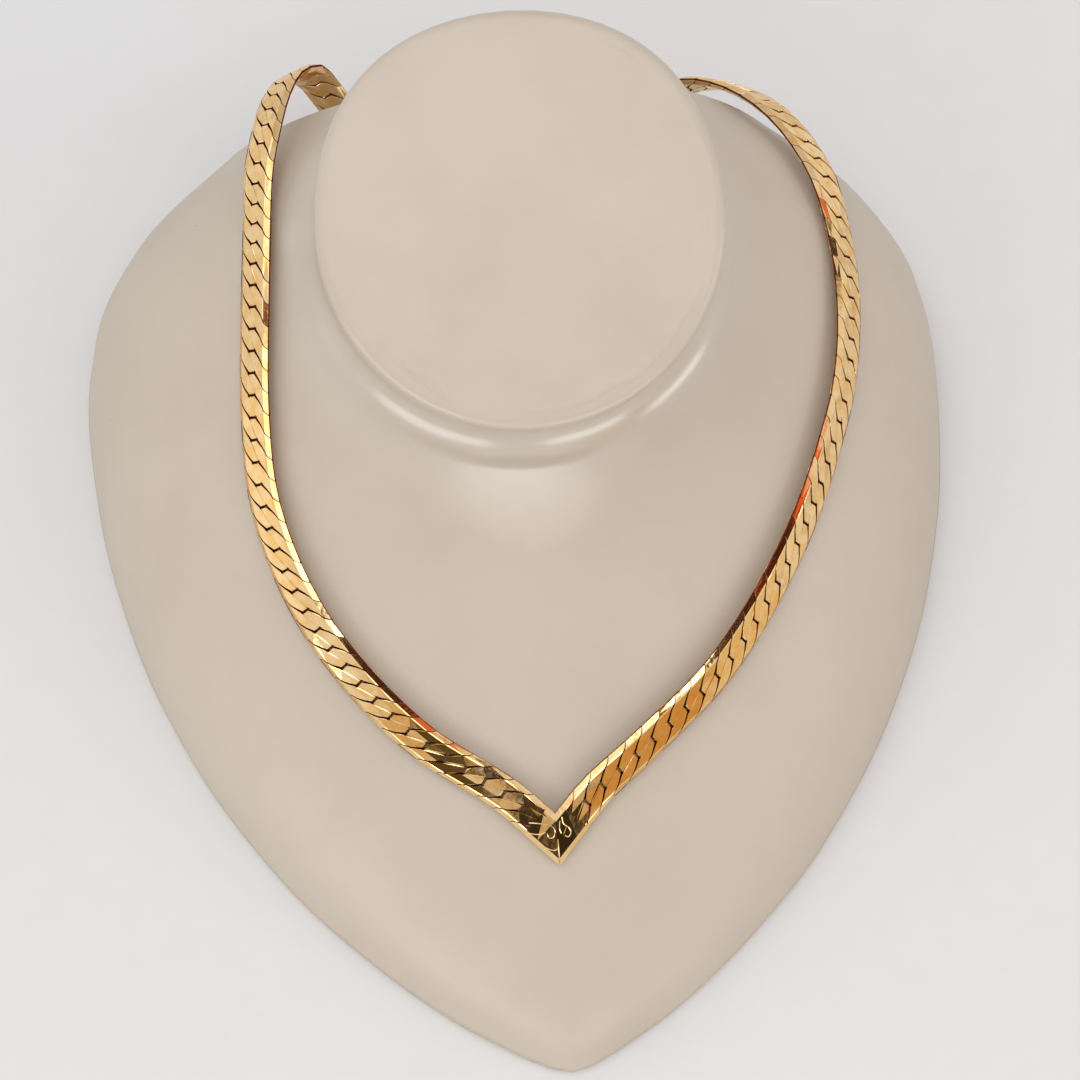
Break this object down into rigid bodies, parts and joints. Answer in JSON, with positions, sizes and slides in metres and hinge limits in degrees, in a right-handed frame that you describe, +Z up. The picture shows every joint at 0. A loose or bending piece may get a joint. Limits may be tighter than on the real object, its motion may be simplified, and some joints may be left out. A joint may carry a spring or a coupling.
{
  "type": "herringbone chain necklace on a neck bust",
  "caption": "Flat bevelled gold-tone herringbone chain with a pointed soldered centre, worn loosely round a low cream neck form with a tilted round neck.",
  "frame": {"origin": "on the surface that the neck form stands on, under the middle of the part's length and width", "axes": "+Z up, -Y towards the tip of the neck form where the chain's point hangs, +Y towards its flat rear wall, +X to the right as seen from the tip"},
  "size_m": [0.164, 0.1916, 0.0897],
  "materials": {
    "gold": "polished gold, with dark grooves between the links",
    "cover": "smooth satin leatherette"
  },
  "bodies": {
    "root": {"bust": "cover", "v_centre": "gold", "clasp": "gold", "chain_left": "gold", "chain_right": "gold"}
  },
  "joints": []
}
